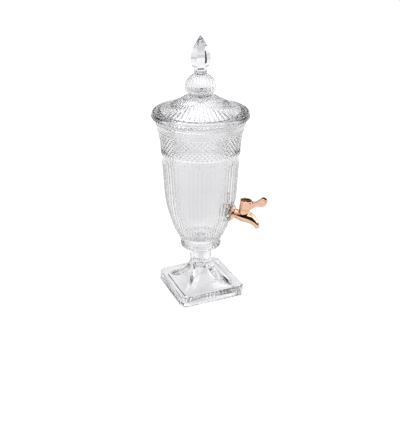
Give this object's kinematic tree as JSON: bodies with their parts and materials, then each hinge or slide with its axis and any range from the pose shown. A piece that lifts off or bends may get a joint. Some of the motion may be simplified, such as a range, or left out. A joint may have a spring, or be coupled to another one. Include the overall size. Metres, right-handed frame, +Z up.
{
  "type": "glass juice dispenser",
  "caption": "Footed, fluted glass drinks dispenser with a lift-off ribbed lid, a faceted finial and a quarter-turn plug tap on its side.",
  "frame": {"origin": "centre of the foot's underside, on the table", "axes": "+Z up along the vessel's axis, tap and spout towards -Y, over one corner of the foot"},
  "size_m": [0.19, 0.2347, 0.5285],
  "materials": {
    "bowl_glass": "clear pressed glass, fluted and diamond cut",
    "pedestal_glass": "clear pressed glass",
    "lid_glass": "clear pressed glass, ribbed",
    "finial_glass": "clear faceted glass",
    "rose_gold": "polished rose-gold plating",
    "silicone": "translucent white silicone",
    "nylon": "moulded natural nylon",
    "o_ring_rubber": "black nitrile rubber"
  },
  "bodies": {
    "vessel": {"bowl": "bowl_glass", "pedestal": "pedestal_glass", "tap_body": "rose_gold", "wall_flange": "rose_gold", "outer_washer": "silicone", "inner_washer": "silicone", "slip_washer": "nylon", "lock_nut": "nylon", "bonnet_nut": "rose_gold", "friction_washer": "nylon"},
    "lid": {"lid": "lid_glass", "finial": "finial_glass"},
    "tap_handle": {"lever_handle": "rose_gold", "handle_screw": "rose_gold", "valve_plug": "nylon", "plug_o_rings": "o_ring_rubber"}
  },
  "joints": [
    {"name": "lid_lift", "type": "slide", "parent": "vessel", "child": "lid", "axis": [0, 0, 1], "range_m": [0, 0.12]},
    {"name": "tap_turn", "type": "hinge", "parent": "vessel", "child": "tap_handle", "pos_m": [0, -0.09213, 0.18029], "axis": [0, -0.1305, 0.9914], "range_deg": [-90, 90]}
  ]
}
